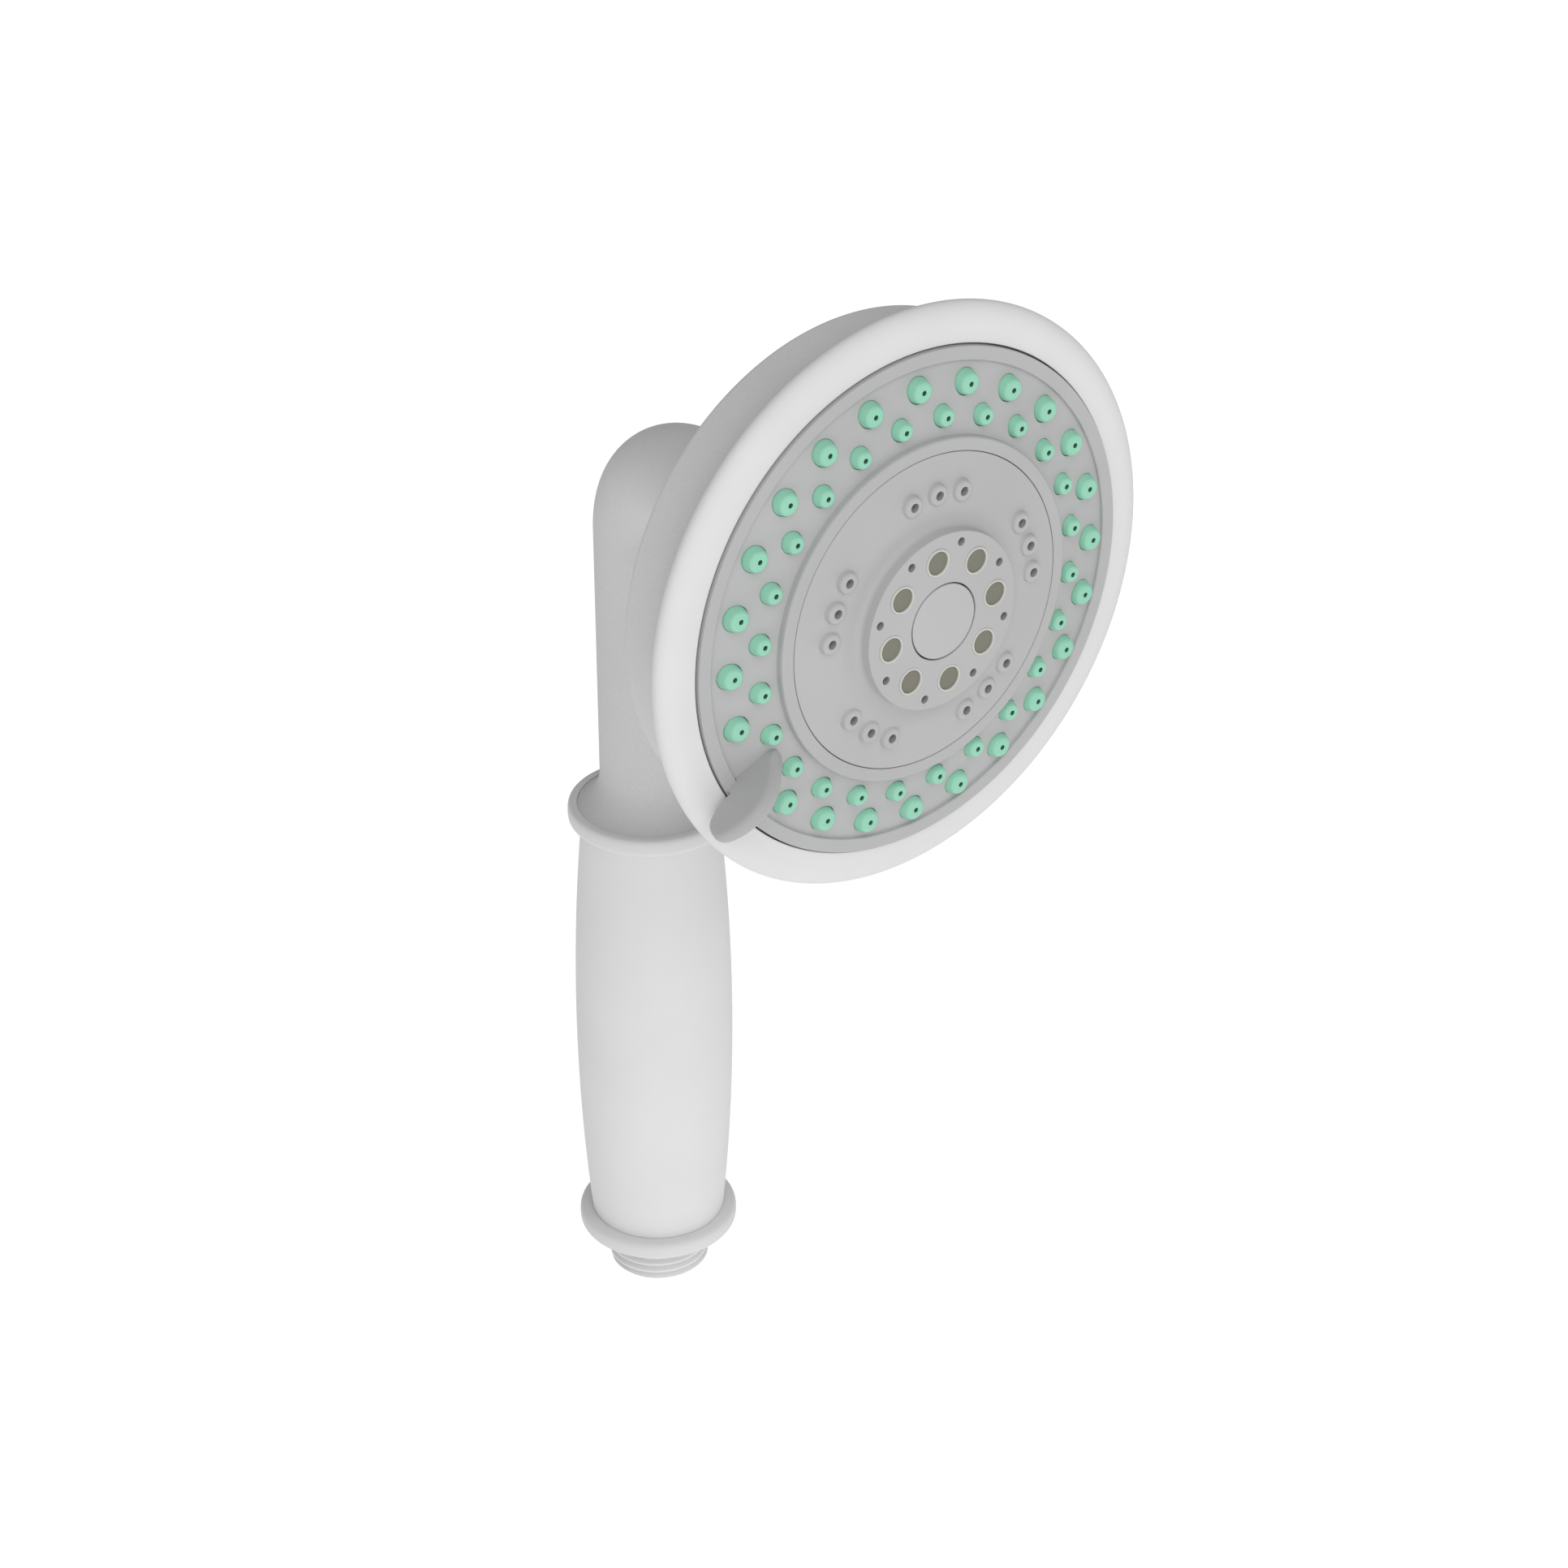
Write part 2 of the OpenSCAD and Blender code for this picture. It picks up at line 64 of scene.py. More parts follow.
MM = 0.001
AROUND = 256            # points round a turned piece
HOLE_AROUND = 32        # points round a nozzle or hole
FACE = Vector(next(j for j in frame["joints"] if j["name"] == "dial_turn")["pos_m"])
HEAD_Z = FACE.z / MM
REACH = -FACE.y / MM

# the dial, in millimetres; a height runs out of the face, from the tips of the outer soft nozzles
SLOPE = 0.195                               # of the channel's floor and of the inner cone
CHANNEL_IN, CHANNEL_OUT = 32.8, 45.6        # radii of the channel's walls
FLOOR_EDGE = -2.4                           # height of the channel's floor at its outer wall
FACE_R, RING_TOP = 48.25, -1.7              # radius and height of the outer ring
CONE_R, INNER_TOP = 30.0, 1.75              # radius and height where the cone starts to rise
DISC_R = 30.16
TURRET_R, TURRET_MID, TURRET_DROP = 17.0, 6.36, 0.22
CAP_HOLE = 7.45                             # radius of the cap's seat in the turret
NOZZLES = 24                                # places round each ring of soft nozzles
OUTER_NOZZLE_R, INNER_NOZZLE_R = 41.8, 36.3
HARD_GROUPS, HARD_NOZZLE_R = 5, 23.5
JETS, WIDE_R, NARROW_R = 8, 12.1, 15.0      # holes in the turret

# the lever: radii of its ends, foot, crest and clear underside, with the heights that go with them
LEVER_CLOCK = 240.0                         # clock angle, in degrees
LEVER_IN, LEVER_OUT, FOOT_R = 36.3, 56.0, 48.0
CREST_R, CREST = 48.0, 7.15
LEVER_TOE, LEVER_TIP = -1.0, 2.9            # heights of the inner and outer end
UNDER_R, UNDER = 50.5, -0.75                # where the underside starts to rise

# the handle, in millimetres; a height runs up from the inlet's end
NECK_R, NECK_BORE = 10.0, 5.7
BEND_R = 15.9                               # of the elbow's centre line
STUB_END = 23.0                             # how far behind the face the elbow's stub ends
GRIP_MID, GRIP_LEN, GRIP_R, BARREL_R = 62.0, 95.8, 16.2, 515.0
GRIP_BORE = 10.8
COLLAR_R, COLLAR_HALF, COLLAR_BEAD = 16.65, 1.95, 1.5
LOWER_Z, UPPER_Z = 12.1, 111.9              # middles of the collars
NECK_FOOT = 113.4
TUBE_SOCKET = 6.5                           # radius of the water tube's sockets
PITCH, THREAD_TOP = 1.814, 9.6

# the studio, in metres and watts
CAMERA_PLACE, CAMERA_LOOK = (-0.4038, -0.5427, 0.5189), (0.5403, 0.6688, -0.5107)
LENS, SENSOR = 89.9, 36.0                   # in millimetres
KEY_PLACE, KEY_SIZE, KEY_POWER = (-0.42, -1.08, 1.07), 1.4, 12.4
SURROUND = 0.34
FLOOR_HALF, FLOOR_DROP = 6.0, 0.0002


# ------------------------------------------------------------------ mesh helpers

def on_head(x, y, h):
    """A point h in front of the outer nozzle tips, x to the right and y up from the face's centre."""
    return Vector((x * MM, FACE.y - h * MM, FACE.z + y * MM))


def on_handle(x, y, h):
    """A point h above the inlet's end."""
    return Vector((x * MM, y * MM, h * MM))


def clock(angle, r):
    """x and y at a clock angle in degrees and a radius."""
    a = math.radians(angle)
    return r * math.sin(a), r * math.cos(a)


def curve_point(a, corner, b, t):
    """A point on the curve from a to b that leaves and arrives along the lines to the corner."""
    return tuple(a * (1 - t) ** 2 + corner * 2 * t * (1 - t) + b * t * t)


def rounded(points, steps=6):
    """Rows (r, h) from corners (r, h, rounding)."""
    rows = []
    for i, (r, h, rad) in enumerate(points):
        if rad <= 0:
            rows.append((r, h))
            continue
        here = Vector((r, h))
        back = Vector(points[i - 1][:2]) - here
        on = Vector(points[(i + 1) % len(points)][:2]) - here
        a = here + back.normalized() * min(rad, back.length * 0.48)
        b = here + on.normalized() * min(rad, on.length * 0.48)
        rows += [curve_point(a, here, b, k / steps) for k in range(steps + 1)]
    return rows


def ring(bm, place, r, h, count=AROUND, centre=(0, 0)):
    """Points round a centre; a single point where the radius is nothing."""
    if r < 1e-6:
        return [bm.verts.new(place(centre[0], centre[1], h))]
    made = []
    for i in range(count):
        x, y = clock(360 * i / count, r)
        made.append(bm.verts.new(place(centre[0] + x, centre[1] + y, h)))
    return made


def join(bm, a, b):
    """Faces between two rings, either of which may be a single point."""
    n = max(len(a), len(b))
    for i in range(n):
        j = (i + 1) % n
        if len(a) == 1:
            bm.faces.new((a[0], b[i], b[j]))
        elif len(b) == 1:
            bm.faces.new((a[i], a[j], b[0]))
        else:
            bm.faces.new((a[i], a[j], b[j], b[i]))


def turn(bm, place, rows, count=AROUND, centre=(0, 0), closed=False):
    """A turned surface through rows (r, h)."""
    rings = [ring(bm, place, r, h, count, centre) for r, h in rows]
    if closed:
        rings.append(rings[0])
    for a, b in zip(rings, rings[1:]):
        join(bm, a, b)
    return rings


def as_bore(bm, count):
    """Gives the newest faces the piece's bore material, a darker colour painted as the shade inside its holes."""
    bm.faces.ensure_lookup_table()
    for face in bm.faces[-count:]:
        face.material_index = 1


def holed_plate(bm, place, r_in, r_out, height, holes, gap=1.1, bores=True):
    """A ring-shaped surface with holes, its points about gap apart.  Each hole is (x, y, rows) with
    rows (radius, rise, level): level 0 follows the slope of the surface, and 1 is square to the axis."""
    points, edges = [], []

    def loop(cx, cy, r, count):
        """One circle of points and the edges between them."""
        first = len(points)
        for i in range(count):
            x, y = clock(360 * i / count, r)
            points.append(Vector((cx + x, cy + y)))
            edges.append((first + i, first + (i + 1) % count))
        return range(first, first + count)

    clear, weld, on_rim, in_hole = 0.35 * gap, 1e-5, 0.99985, 0.993
    loop(0, 0, r_out, AROUND)
    loop(0, 0, r_in, AROUND)
    rims = [loop(x, y, rows[0][0], HOLE_AROUND) for x, y, rows in holes]
    bands = max(1, round((r_out - r_in) / gap))
    for b in range(1, bands):
        r = r_in + (r_out - r_in) * b / bands
        count = int(2 * math.pi * r / gap)
        for i in range(count):
            x, y = clock(360 * (i + 0.5 * (b % 2)) / count, r)
            if all(math.hypot(x - hx, y - hy) > rows[0][0] + clear for hx, hy, rows in holes):
                points.append(Vector((x, y)))
    flat, _, faces, origin, _, _ = delaunay_2d_cdt(points, edges, [], 0, weld)
    verts = [bm.verts.new(place(p.x, p.y, height(p.length))) for p in flat]
    for f in faces:
        c = sum((flat[i] for i in f), Vector((0, 0))) / len(f)
        inside = r_in * on_rim < c.length < r_out
        if inside and all(math.hypot(c.x - x, c.y - y) > rows[0][0] * in_hole for x, y, rows in holes):
            bm.faces.new([verts[i] for i in f])
    where = {old: verts[new] for new, olds in enumerate(origin) for old in olds}
    for (x, y, rows), rim in zip(holes, rims):
        middle = height(math.hypot(x, y))
        last = [where[i] for i in rim]
        for r, rise, level in rows[1:]:
            now = []
            for i in range(HOLE_AROUND):
                dx, dy = clock(360 * i / HOLE_AROUND, r)
                tilt = height(math.hypot(x + dx, y + dy)) * (1 - level) + middle * level
                now.append(bm.verts.new(place(x + dx, y + dy, tilt + rise)))
            join(bm, last, now)
            last = now
        bm.faces.new(last)
        # painted shade: each hole's wall and floor take the piece's dark bore material
        if bores:
            as_bore(bm, HOLE_AROUND + 1)
    loose = [v for v in verts if not v.link_faces]
    bmesh.ops.delete(bm, geom=loose, context="VERTS")


def add_piece(bm, name, slot, body, nodes, sharp=32, surface=None, bore=None):
    """Turns the mesh into a piece that rides on its body and stands for its CAD nodes.  surface is a
    material other than the slot's own, bore the darker one painted as shade inside its holes, and
    sharp the angle in degrees above which an edge is not shaded smooth."""
    bmesh.ops.remove_doubles(bm, verts=bm.verts, dist=2e-7)
    bmesh.ops.recalc_face_normals(bm, faces=bm.faces)
    mesh = bpy.data.meshes.new(name)
    bm.to_mesh(mesh)
    bm.free()
    mesh.shade_smooth()
    mesh.set_sharp_from_angle(angle=math.radians(sharp))
    piece = bpy.data.objects.new(name, mesh)
    bpy.context.scene.collection.objects.link(piece)
    even = piece.modifiers.new("even_shading", "WEIGHTED_NORMAL")
    even.keep_sharp = True
    mesh.materials.append(MATERIALS[surface or slot])
    if bore:
        mesh.materials.append(MATERIALS[bore])
    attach(piece, body)
    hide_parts(*nodes)


# ------------------------------------------------------------------ materials

def make_surface(name, colour, rough, grain, bump, blotch=0.02, metal=0.0, sheen=0.2, fleck=0.0):
    """Moulded or turned material.  grain is the size of the finest texture in millimetres, bump its
    depth in micrometres, fleck how far it darkens the colour, and blotch how far the colour drifts over
    a few centimetres."""
    mat = bpy.data.materials.new(name)
    mat.use_nodes = True
    nodes, links = mat.node_tree.nodes, mat.node_tree.links
    shader = nodes["Principled BSDF"]
    shader.inputs["Metallic"].default_value = metal
    shader.inputs["Specular IOR Level"].default_value = sheen
    place = nodes.new("ShaderNodeTexCoord")

    def noise(scale, detail, rough_detail=0.5):
        """A noise pattern that stays with the piece."""
        tex = nodes.new("ShaderNodeTexNoise")
        tex.inputs["Scale"].default_value = scale
        tex.inputs["Detail"].default_value = detail
        tex.inputs["Roughness"].default_value = rough_detail
        links.new(place.outputs["Object"], tex.inputs["Vector"])
        return tex.outputs["Fac"]

    def spread(value, low, high):
        """Stretches the middle of the noise's range from low to high."""
        node = nodes.new("ShaderNodeMapRange")
        node.inputs["From Min"].default_value = 0.3
        node.inputs["From Max"].default_value = 0.7
        node.inputs["To Min"].default_value = low
        node.inputs["To Max"].default_value = high
        links.new(value, node.inputs["Value"])
        return node.outputs["Result"]

    def tint(factor, a, b):
        """A colour between a and b."""
        node = nodes.new("ShaderNodeMix")
        node.data_type = "RGBA"
        node.inputs[6].default_value = (*a, 1)
        node.inputs[7].default_value = (*b, 1)
        links.new(factor, node.inputs[0])
        return node.outputs[2]

    broad = noise(45.0, 3.0)
    fine = noise(1000.0 / grain, 4.0, 0.6)
    scuff = noise(260.0, 6.0, 0.7)
    darker = [c * (1 - blotch) for c in colour]
    lighter = [min(1.0, c * (1 + blotch)) for c in colour]
    base = tint(spread(broad, 0.0, 1.0), darker, lighter)
    speck = nodes.new("ShaderNodeMix")
    speck.data_type = "RGBA"
    speck.blend_type = "MULTIPLY"
    speck.inputs[0].default_value = 1.0
    links.new(base, speck.inputs[6])
    shade = tint(spread(fine, 0.0, 1.0), [1 - fleck] * 3, [1.0] * 3)
    links.new(shade, speck.inputs[7])
    links.new(speck.outputs[2], shader.inputs["Base Color"])
    links.new(spread(scuff, rough - 0.05, rough + 0.05), shader.inputs["Roughness"])
    relief = nodes.new("ShaderNodeBump")
    relief.inputs["Strength"].default_value = 1.0
    relief.inputs["Distance"].default_value = bump * 1e-6
    links.new(fine, relief.inputs["Height"])
    links.new(relief.outputs["Normal"], shader.inputs["Normal"])
    return mat


def grey(value):
    """A neutral colour."""
    return value, value, value


MATERIALS = {
    "casing": make_surface("cast_casing", grey(0.655), 0.7, 0.35, 34, fleck=0.09),
    "neck": make_surface("cast_neck", grey(0.655), 0.7, 0.35, 34, fleck=0.09),
    "bezel": make_surface("satin_bezel", grey(0.715), 0.6, 0.6, 2),
    "grip": make_surface("satin_grip", grey(0.755), 0.6, 0.7, 4),
    "collar": make_surface("satin_collar", grey(0.72), 0.6, 0.6, 2),
    "inlet": make_surface("cut_thread", grey(0.80), 0.6, 0.25, 8, fleck=0.05),
    "face": make_surface("grey_face", grey(0.46), 0.55, 0.4, 4),
    "spray_face": make_surface("grey_spray_face", grey(0.47), 0.55, 0.4, 4),
    "lever": make_surface("grey_lever", grey(0.42), 0.45, 0.5, 3),
    "cap": make_surface("grey_cap", grey(0.49), 0.45, 0.5, 3),
    "soft_nozzle": make_surface("mint_silicone", (0.29, 0.63, 0.46), 0.5, 0.3, 5, sheen=0.4),
    # painted shade: these dark mint and dark grey colours stand in for the shade inside the nozzles' bores and the
    # disc's holes
    "mint_bore_painted_shade": make_surface("silicone_painted_shade", (0.08, 0.20, 0.155), 0.6, 0.3, 5),
    "grey_bore_painted_shade": make_surface("bore_painted_shade", grey(0.38), 0.6, 0.3, 5),
    # painted highlight: the rims' pale colour stands in for the light on their raised lips
    "jet_rim": make_surface("rim_painted_highlight", (0.58, 0.58, 0.54), 0.5, 0.4, 3),
    "jet": make_surface("olive_insert", (0.205, 0.20, 0.16), 0.6, 0.4, 5),
    "inner_plastic": make_surface("moulded_inner", (0.34, 0.35, 0.36), 0.5, 0.5, 6),
    "pale_plastic": make_surface("moulded_pale", (0.72, 0.68, 0.58), 0.45, 0.5, 5),
    "orange_plastic": make_surface("moulded_orange", (0.72, 0.20, 0.03), 0.4, 0.5, 5),
    "steel": make_surface("drawn_steel", (0.62, 0.62, 0.63), 0.3, 0.15, 4, metal=1.0),
    "brass": make_surface("turned_brass", (0.72, 0.50, 0.20), 0.32, 0.2, 5, metal=1.0),
    "seal": make_surface("black_rubber", grey(0.02), 0.7, 0.3, 8, blotch=0.15),
}


# ------------------------------------------------------------------ head casing

def build_rear_shell():
    """Drum, domed back, fillet and boss, then the stub's bore and the hollow for the manifold."""
    front, drum_r, drum_in, drum_back, dome = -5.2, 49.2, 46.9, -22, 8
    boss_r, boss_back, fillet_r, tangent = 13, -40, 7, 97
    stub_r, nut_r, nut_seat, nut_front = 10.05, 12.1, -30.1, -28.5
    hollow, hollow_in, hollow_out, ledge_r, ledge_top = -20.5, 18, 40, 42, -16
    dome_in, dome_out = boss_r + fillet_r, drum_r - 1
    fillet_mid = drum_back - dome - fillet_r
    outside = [(drum_in, front, 0.2), (drum_r, front, 0.3), (drum_r, drum_back, 1.1)]
    for i in range(1, 17):
        out = 1 - i / 16
        outside.append((dome_in + (dome_out - dome_in) * out, drum_back - dome * (1 - out ** 2), 0))
    for i in range(1, 13):
        a = math.radians(tangent + (180 - tangent) * i / 12)
        outside.append((dome_in + fillet_r * math.cos(a), fillet_mid + fillet_r * math.sin(a), 0))
    outside += [(boss_r, boss_back, 0.9), (stub_r, boss_back, 0.25)]
    inside = [(stub_r, nut_seat, 0), (nut_r, nut_seat, 0), (nut_r, nut_front, 0)]
    for i in range(9):
        out = i / 8
        inside.append((hollow_in + (hollow_out - hollow_in) * out, hollow - dome * (1 - out ** 2), 0))
    inside += [(ledge_r, hollow, 0), (ledge_r, ledge_top, 0), (drum_in, ledge_top, 0)]
    bm = bmesh.new()
    turn(bm, on_head, rounded(outside + inside), closed=True)
    add_piece(bm, "rear_shell_body", "casing", "handset", ["rear_shell"], sharp=40)


def build_bezel():
    """A flat ring with a fully rounded outer edge, open in the middle for the dial."""
    front, back, outer_r, steps = -2.4, -8, 55.7, 48
    bulge, half, mid = 4.25, 2.5, -4.9
    bulge_r = outer_r - bulge
    bore_r, drum_fit, seat = 48.6, 49.25, -5.15
    rows = rounded([(bore_r, seat, 0), (bore_r, front, 0.15), (51.0, front, 0)])[:-1]
    for i in range(steps + 1):
        a = math.radians(90 - 180 * i / steps)
        rows.append((bulge_r + bulge * math.cos(a), mid + half * math.sin(a)))
    rows += rounded([(bulge_r, mid - half, 0), (49.8, back, 0.2), (drum_fit, back, 0.1),
                     (drum_fit, seat, 0)])[1:]
    bm = bmesh.new()
    turn(bm, on_head, rows, closed=True)
    add_piece(bm, "bezel_rim", "bezel", "handset", ["bezel_ring"], sharp=40)


def tube_point(s):
    """Centre and outward direction of the elbow's line, s millimetres up from the inlet."""
    bend_start = HEAD_Z - BEND_R
    if s <= bend_start:
        return Vector((0, 0, s)), Vector((0, 1, 0))
    a = (s - bend_start) / BEND_R
    if a >= math.pi / 2:
        over = s - bend_start - BEND_R * math.pi / 2
        return Vector((0, -BEND_R - over, HEAD_Z)), Vector((0, 0, 1))
    c = Vector((0, -BEND_R + BEND_R * math.cos(a), bend_start + BEND_R * math.sin(a)))
    return c, Vector((0, math.cos(a), math.sin(a)))


def build_elbow():
    """The neck, its flared foot, the bend and the stub, as one bored tube."""
    flare, end_angle = 8.0, 65.6
    spigot_r, spigot_end, socket_end, foot_r = 8.5, 97, 104.5, 14.6
    flare_steps, bend_steps, around = 16, 32, AROUND // 2
    bend_start = HEAD_Z - BEND_R
    quarter = BEND_R * math.pi / 2
    stub_end = bend_start + quarter + REACH - STUB_END - BEND_R
    bend = [bend_start + quarter * i / bend_steps for i in range(bend_steps + 1)]
    straight = list(range(124, 175, 5))
    outer = [(spigot_r, spigot_end), (spigot_r, NECK_FOOT), (foot_r - 0.4, NECK_FOOT),
             (foot_r, NECK_FOOT + 0.12)]
    for i in range(flare_steps + 1):
        a = math.radians(end_angle * (1 - i / flare_steps))
        rise = flare * (math.sin(math.radians(end_angle)) - math.sin(a))
        outer.append((NECK_R + flare * (1 - math.cos(a)), NECK_FOOT + 0.2 + rise))
    outer += [(NECK_R, s) for s in straight + bend + [stub_end - 0.5]]
    outer += [(NECK_R - 0.5, stub_end)]
    inner = [(NECK_BORE, s) for s in [stub_end] + bend[::-1] + [socket_end]]
    inner += [(TUBE_SOCKET, socket_end), (TUBE_SOCKET, spigot_end)]
    bm = bmesh.new()
    rings = []
    for r, s in outer + inner:
        c, out = tube_point(s)
        turned = []
        for i in range(around):
            a = 2 * math.pi * i / around
            p = c + Vector((r * math.cos(a), 0, 0)) + out * (r * math.sin(a))
            turned.append(bm.verts.new(p * MM))
        rings.append(turned)
    for a, b in zip(rings, rings[1:] + rings[:1]):
        join(bm, a, b)
    add_piece(bm, "elbow_body", "neck", "handset", ["elbow_neck"])


# ------------------------------------------------------------------ dial

def floor_height(r):
    """Height of the channel's floor."""
    return FLOOR_EDGE + SLOPE * (CHANNEL_OUT - r)


def cone_height(r):
    """Height of the spray disc's cone."""
    return INNER_TOP + SLOPE * (CONE_R - r)


def soft_nozzles():
    """Places of the soft nozzles, as (x, y, outer or not).  The lever takes one outer place."""
    step = 360 / NOZZLES
    outer = [(*clock(LEVER_CLOCK + step * i, OUTER_NOZZLE_R), True) for i in range(1, NOZZLES)]
    inner = [(*clock(LEVER_CLOCK + step * (i + 0.5), INNER_NOZZLE_R), False) for i in range(NOZZLES)]
    return outer + inner


def build_face_plate():
    """Outer ring, skirt and inner ring in one turning, and the channel's floor with its holes."""
    lip, foot = 0.3, 0.12
    flange_back, plate_back, floor_back = -4, -9, -5
    skirt_in, skirt_out, skirt_end = 44.9, 46.4, -8.6
    wall_r, ledge_r, ledge_back, ledge_top = 30.3, 28.6, -2.2, -0.2
    skirt = [(CHANNEL_OUT + 0.02, RING_TOP, lip), (FACE_R, RING_TOP, 0.2), (FACE_R, flange_back, 0.1),
             (skirt_out, flange_back, 0), (skirt_out, skirt_end, 0), (skirt_in, skirt_end, 0),
             (skirt_in, floor_back, 0), (32.9, floor_back, 0), (32.9, plate_back, 0),
             (wall_r, plate_back, 0), (wall_r, ledge_back, 0), (ledge_r, ledge_back, 0),
             (ledge_r, ledge_top, 0), (wall_r, ledge_top, 0), (wall_r, INNER_TOP, 0.15),
             (CHANNEL_IN, INNER_TOP, 0.6)]
    a, b = CHANNEL_IN + foot, CHANNEL_OUT - foot
    ends = [(CHANNEL_IN, floor_height(CHANNEL_IN) + 0.05, foot), (a, floor_height(a), 0)]
    start = [(b, floor_height(b), 0), (CHANNEL_OUT, FLOOR_EDGE + 0.02, foot)]
    bm = bmesh.new()
    turn(bm, on_head, rounded(start + skirt + ends))
    outer_hole, inner_hole, edge, depth = 2.47, 2.06, 0.05, 2.2
    holes = []
    for x, y, outer in soft_nozzles():
        r = outer_hole if outer else inner_hole
        holes.append((x, y, [(r + edge, 0, 0), (r, -edge, 0), (r, -depth, 1)]))
    holed_plate(bm, on_head, a, b, floor_height, holes, bores=False)
    add_piece(bm, "face_plate_body", "face", "dial", ["face_plate"])


def build_nozzles():
    """The mat behind the channel's floor, and tapered nozzles with a round shoulder and a bore."""
    mat_in, mat_out, mat_front, mat_back = 33.4, 44.5, -5.1, -6.6
    rise, root, depth, hole, shoulder = 1.66, 3.4, 3.2, 0.48, 0.65
    mat = [(mat_in, mat_front), (mat_out, mat_front), (mat_out, mat_back), (mat_in, mat_back)]
    bm = bmesh.new()
    turn(bm, on_head, mat, closed=True)
    for x, y, outer in soft_nozzles():
        base = floor_height(math.hypot(x, y))
        foot, top = (2.42, 1.92) if outer else (2.01, 1.55)
        shape = [(0, base - root, 0), (foot, base - root, 0), (foot, base - 0.1, 0.1),
                 (top, base + rise, shoulder), (hole, base + rise, 0.06), (hole, base - depth, 0),
                 (0, base - depth, 0)]
        turn(bm, on_head, rounded(shape), HOLE_AROUND, (x, y))
        # painted shade: each bore's wall and floor take the dark mint
        as_bore(bm, 2 * HOLE_AROUND)
    add_piece(bm, "soft_nozzles", "soft_nozzle", "dial", ["nozzle_mat"], sharp=50, bore="mint_bore_painted_shade")


def turret_height(r):
    """Height of the turret's slightly sloping top."""
    return TURRET_MID - TURRET_DROP * (r - CAP_HOLE) / (TURRET_R - CAP_HOLE)


def ring_places(count, r, start):
    """Places spaced evenly round the clock."""
    return [clock(start + 360 * i / count, r) for i in range(count)]


def wide_places():
    """Middles of the turret's wide holes, which stand half a step from the lever."""
    return ring_places(JETS, WIDE_R, LEVER_CLOCK + 180 / JETS)


def build_spray_disc():
    """The cone with its hard nozzles and the turret with its holes.  Where the four surfaces meet:
    a and b are the cone's outer and inner edge, c and d the turret top's."""
    boss = [(2.25, 0, 0), (2.13, 0.05, 0.1), (2.07, 0.2, 0.3), (1.99, 0.5, 0.6), (1.93, 0.68, 0.8),
            (1.83, 0.82, 0.9), (1.65, 0.93, 1), (1.45, 0.97, 1), (0.95, 0.97, 1), (0.88, 0.95, 1),
            (0.85, 0.9, 1), (0.85, -2.2, 1)]
    first_group, spacing = LEVER_CLOCK - 22.5, 14
    hard = []
    for group in range(HARD_GROUPS):
        for k in (-1, 0, 1):
            place = clock(first_group + 360 / HARD_GROUPS * group + spacing * k, HARD_NOZZLE_R)
            hard.append((*place, boss))
    wide_r, narrow_r, edge = 2.63, 0.79, 0.05
    wide = [(2.68, 0, 0), (wide_r, -edge, 0), (wide_r, -1.9, 1)]
    narrow = [(0.84, 0, 0), (narrow_r, -edge, 1), (narrow_r, -2.0, 1)]
    top_holes = [(*p, wide) for p in wide_places()]
    top_holes += [(*p, narrow) for p in ring_places(JETS, NARROW_R, LEVER_CLOCK)]
    a, b, c, d = DISC_R - 0.4, 21.2, TURRET_R - 0.3, CAP_HOLE + 0.3
    edge = [(a, cone_height(a), 0), (DISC_R, cone_height(DISC_R), 0.14), (DISC_R, -0.15, 0),
            (26, -0.15, 0), (20, 1.4, 0), (16.4, 1.6, 0), (15.8, 4.0, 0), (9.6, 4.0, 0),
            (9.6, -3.4, 0), (8.2, -3.4, 0), (8.2, 3.2, 0), (5.2, 3.2, 0), (5.2, 4.2, 0),
            (CAP_HOLE, 4.2, 0), (CAP_HOLE, turret_height(CAP_HOLE), 0.12), (d, turret_height(d), 0)]
    wall = [(c, turret_height(c), 0), (TURRET_R, turret_height(TURRET_R), 0.2)]
    foot = Vector((17.12, 4.6)), Vector((17.2, 3.4)), Vector((19.0, 3.4))
    wall += [(*curve_point(*foot, i / 12), 0) for i in range(13)]
    wall += [(20.2, 3.43, 0), (b, cone_height(b), 0)]
    bm = bmesh.new()
    turn(bm, on_head, rounded(edge))
    turn(bm, on_head, rounded(wall))
    holed_plate(bm, on_head, b, a, cone_height, hard, 0.9)
    holed_plate(bm, on_head, d, c, turret_height, top_holes, 0.8)
    add_piece(bm, "spray_disc_body", "spray_face", "dial", ["spray_disc"], bore="grey_bore_painted_shade")


def build_jet_insert():
    """A dark disc behind the turret, whose pads fill the wide holes almost to the top, inside thin
    rims that stand a little proud, coloured pale as a painted highlight."""
    disc_in, disc_out, disc_front, disc_back = 9.75, 15.7, 4.25, 3.1
    pad_r, rim_in, rim_out, root = 2.22, 2.24, 2.62, 4.3
    sunk, proud, around = 0.14, 0.15, 48
    disc = [(disc_in, disc_front), (disc_out, disc_front), (disc_out, disc_back), (disc_in, disc_back)]
    pads, rims = bmesh.new(), bmesh.new()
    turn(pads, on_head, disc, closed=True)
    for x, y in wide_places():
        top = turret_height(math.hypot(x, y))
        pad = [(0, top - sunk, 0), (pad_r, top - sunk, 0.05), (pad_r, 3.6, 0), (0, 3.6, 0)]
        turn(pads, on_head, rounded(pad), around, (x, y))
        rim = [(rim_out, root, 0), (rim_out, top + proud, 0.1), (rim_in, top + proud, 0.08),
               (rim_in, root, 0)]
        turn(rims, on_head, rounded(rim), around, (x, y), closed=True)
    add_piece(pads, "jet_pads", "jet", "dial", ["jet_insert"])
    # painted highlight: the rims take a pale colour
    add_piece(rims, "jet_rims", "jet", "dial", ["jet_insert"], surface="jet_rim")


